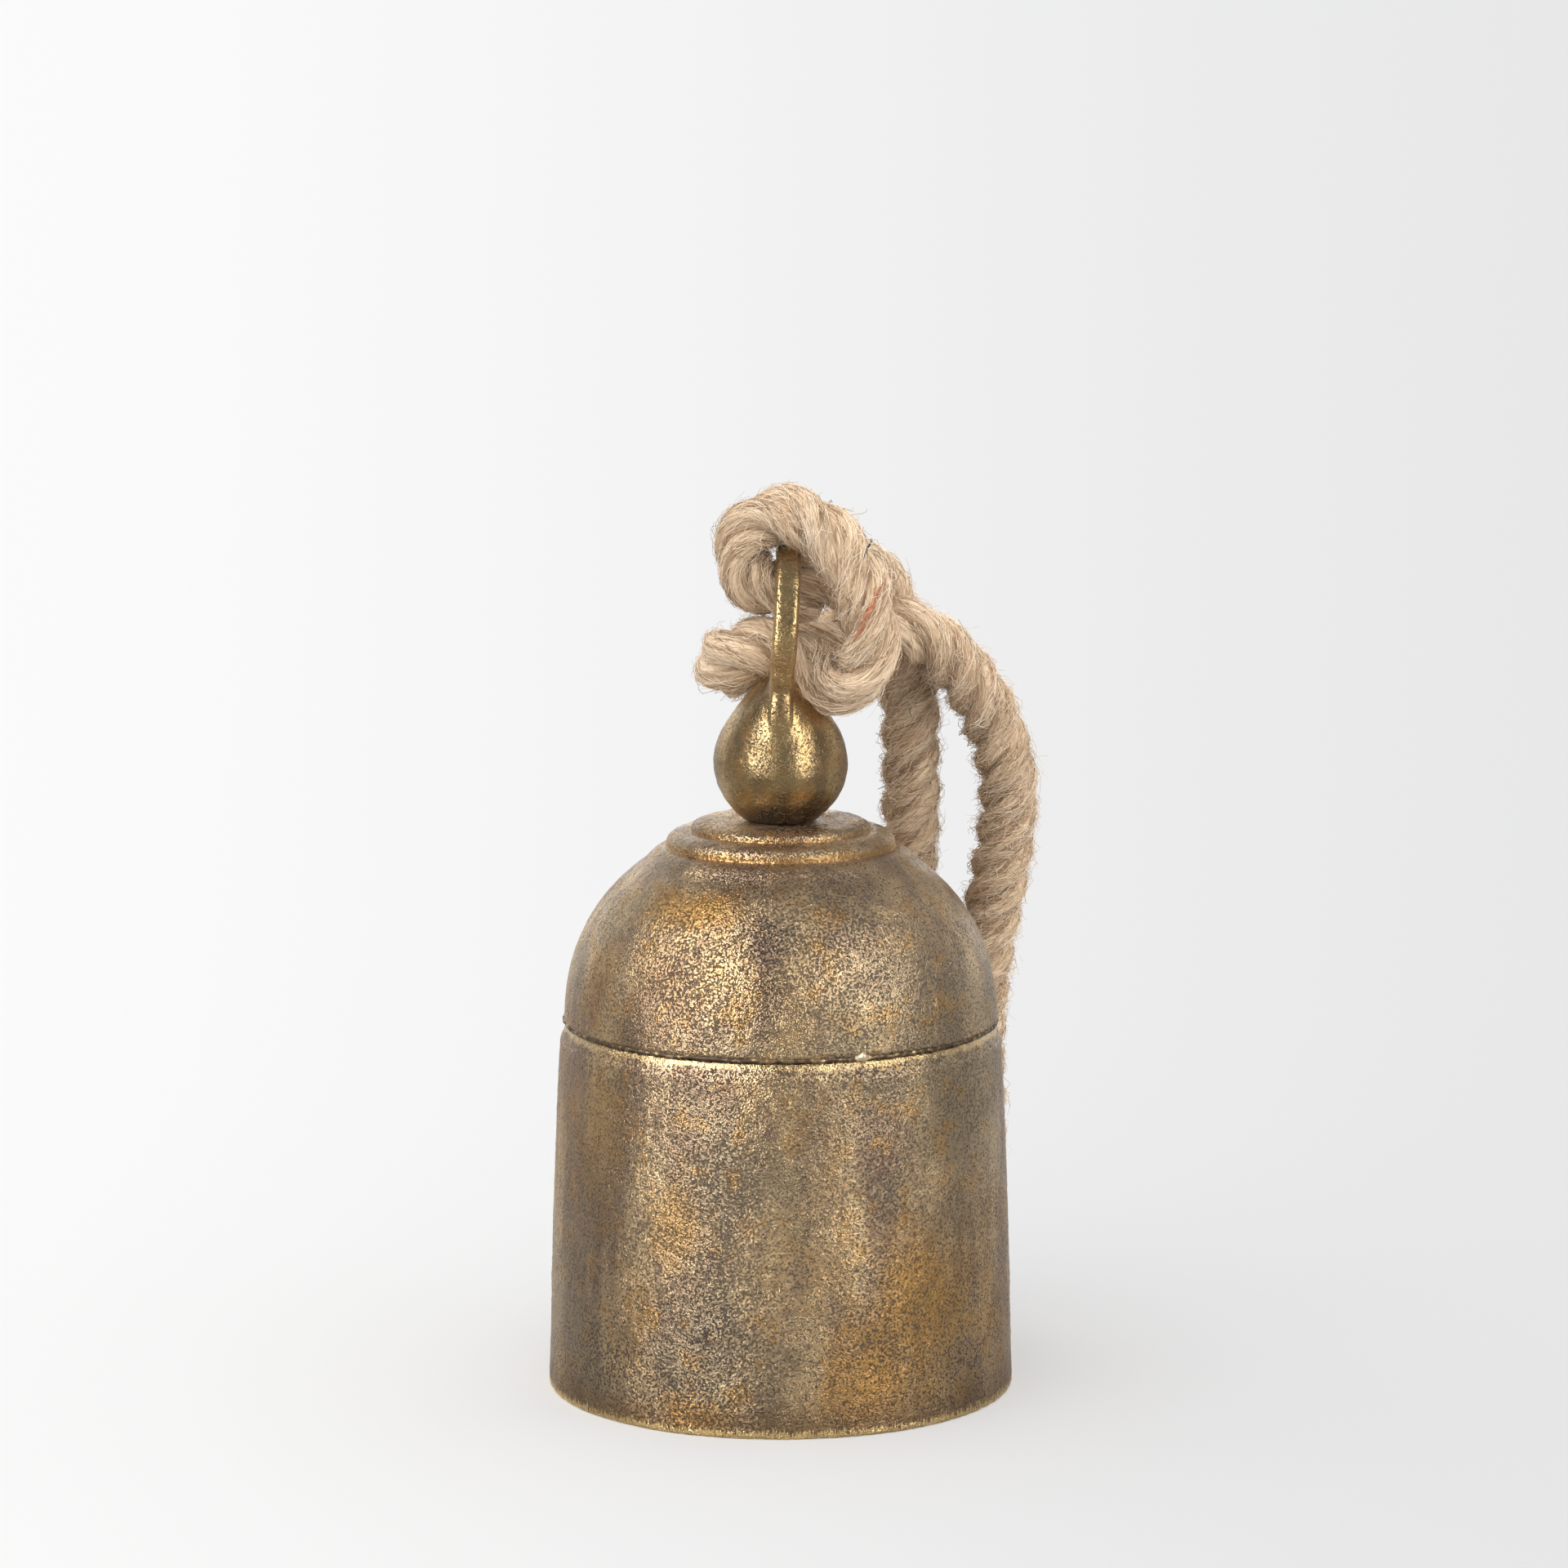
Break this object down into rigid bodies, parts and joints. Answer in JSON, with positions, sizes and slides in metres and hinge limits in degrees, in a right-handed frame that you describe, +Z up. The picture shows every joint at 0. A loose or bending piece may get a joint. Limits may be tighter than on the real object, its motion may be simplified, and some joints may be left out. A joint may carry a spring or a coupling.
{
  "type": "ship bell",
  "caption": "Cast brass hand-size ship bell: tapered skirt, brazed-on stepped dome, ball-and-eye finial, iron clapper on a swinging link, and a thick jute rope hanger.",
  "frame": {"origin": "centre of the bell's mouth, on the surface it stands on", "axes": "+Z up the bell's axis, +X across the eye's hole, +Y towards the hanging rope loop; the front is -Y"},
  "size_m": [0.1346, 0.1473, 0.2451],
  "materials": {
    "cast_brass": "sand-cast antique brass, dark pits between brushed high spots",
    "finial_brass": "cast antique brass, hand rubbed, smoother than the bell",
    "seam_braze": "rough dark brazed bead",
    "steel_hardware": "dull zinc-plated steel",
    "clapper_iron": "dark oiled cast iron",
    "jute_rope": "natural three-strand jute, fuzzy",
    "dark_twine": "waxed dark twine"
  },
  "bodies": {
    "bell": {"bell_skirt": "cast_brass", "bell_dome": "cast_brass", "seam_braze": "seam_braze", "crown_finial": "finial_brass", "crown_stud": "steel_hardware", "crown_washer": "steel_hardware", "crown_nut": "steel_hardware", "hanger_lock_nut": "steel_hardware", "clapper_hanger": "steel_hardware", "rope_leg_left": "jute_rope", "rope_knot": "jute_rope", "rope_leg_right": "jute_rope", "rope_whipping": "dark_twine"},
    "link": {"clapper_link": "steel_hardware"},
    "clapper": {"clapper_rod": "clapper_iron", "clapper_ball": "clapper_iron", "clapper_nut": "steel_hardware"}
  },
  "joints": [
    {"name": "clapper_swing", "type": "hinge", "parent": "bell", "child": "link", "pos_m": [0, 0, 0.1135], "axis": [0, 1, 0], "range_deg": [-30, 30]},
    {"name": "clapper_rock", "type": "hinge", "parent": "link", "child": "clapper", "pos_m": [0, 0, 0.0992], "axis": [1, 0, 0], "range_deg": [-6, 6]}
  ]
}
